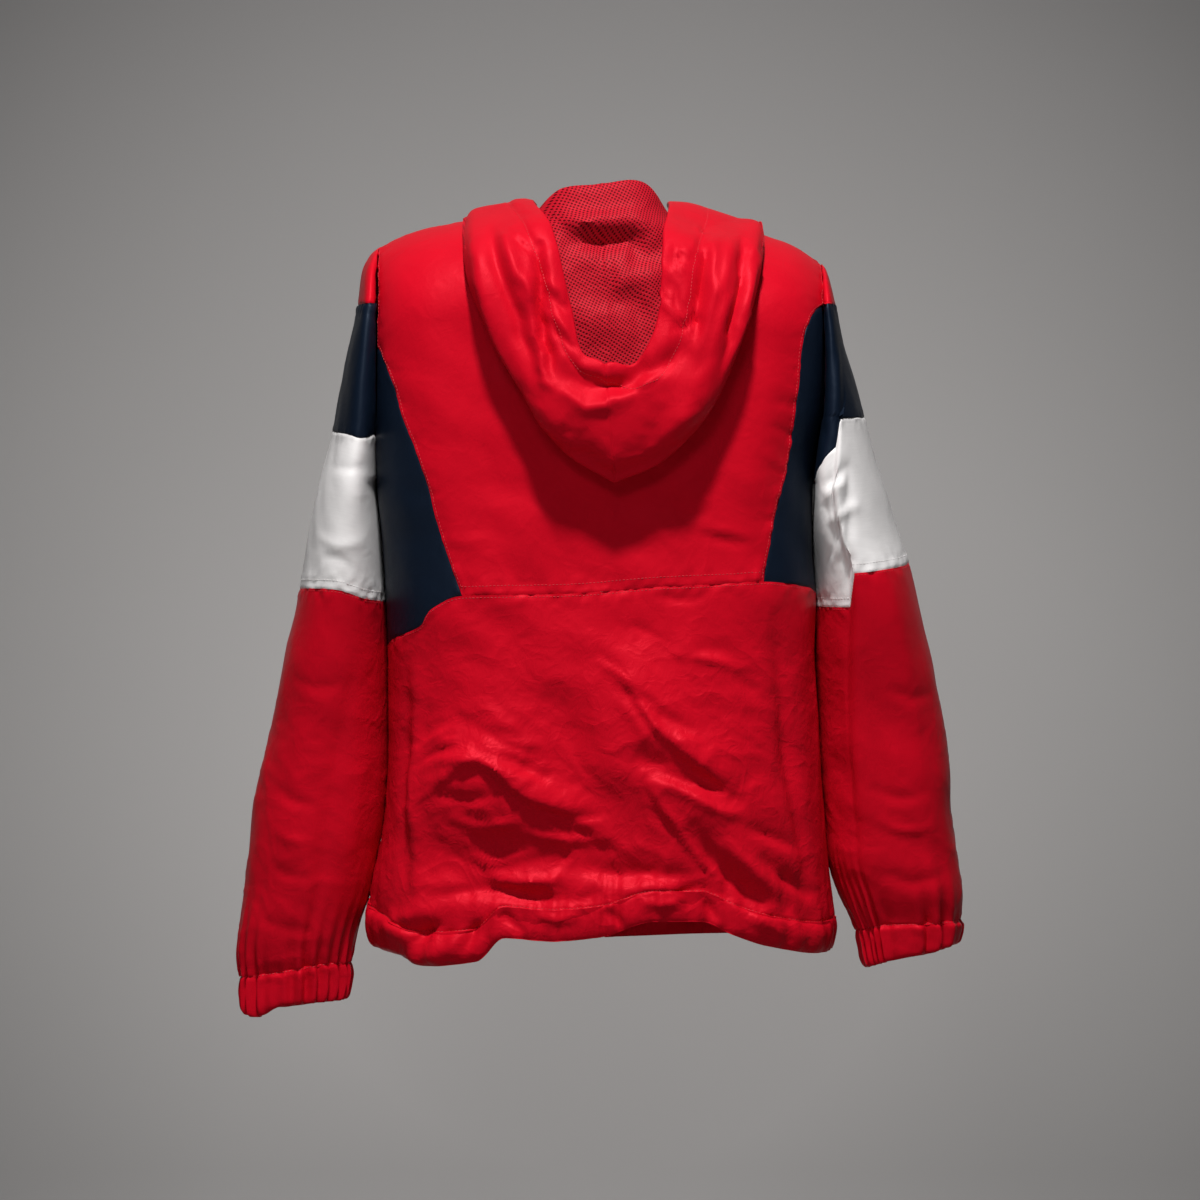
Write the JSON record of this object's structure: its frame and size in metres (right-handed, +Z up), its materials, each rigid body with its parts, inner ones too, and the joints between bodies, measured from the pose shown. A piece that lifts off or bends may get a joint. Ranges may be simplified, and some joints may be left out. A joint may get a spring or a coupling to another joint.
{
  "type": "hooded jacket",
  "caption": "Hooded windbreaker filled out as if worn, hood down over the back, colour-blocked sleeves, gathered hem and cuffs, front zip.",
  "frame": {"origin": "middle of the neck at the height of the shoulders, where the wearer holds the jacket up", "axes": "+Y the way the wearer faces, +X the wearer's right, +Z up"},
  "size_m": [0.6679, 0.3118, 0.7742],
  "materials": {
    "red_nylon": "thin plain-woven nylon with a soft satin sheen",
    "navy_nylon": "thin plain-woven nylon with a soft satin sheen",
    "white_nylon": "thin plain-woven nylon with a soft satin sheen",
    "red_mesh": "open knitted mesh lining",
    "zip_tape": "woven zip tape",
    "zip_teeth": "moulded zip teeth",
    "zip_metal": "satin die-cast metal"
  },
  "bodies": {
    "jacket": {"back_upper": "red_nylon", "back_lower": "red_nylon", "front_upper_left": "red_nylon", "front_upper_right": "red_nylon", "front_lower_left": "red_nylon", "front_lower_right": "red_nylon", "hem_casing": "red_nylon", "sleeve_cap_left": "red_nylon", "sleeve_cap_right": "red_nylon", "sleeve_lower_left": "red_nylon", "sleeve_lower_right": "red_nylon", "cuff_left": "red_nylon", "cuff_right": "red_nylon", "hood_left": "red_nylon", "hood_right": "red_nylon", "side_left": "navy_nylon", "side_right": "navy_nylon", "sleeve_upper_left": "navy_nylon", "sleeve_upper_right": "navy_nylon", "sleeve_band_left": "white_nylon", "sleeve_band_right": "white_nylon", "hood_lining_left": "red_mesh", "hood_lining_right": "red_mesh", "zip_tape_left": "zip_tape", "zip_tape_right": "zip_tape", "zip_chain": "zip_teeth", "zip_slider": "zip_metal"},
    "pull_tab": {"zip_pull": "zip_metal"}
  },
  "joints": [
    {"name": "zip_pull_hinge", "type": "hinge", "parent": "jacket", "child": "pull_tab", "pos_m": [0, 0.11736, -0.084], "axis": [1, 0, 0], "range_deg": [0, 150]}
  ]
}
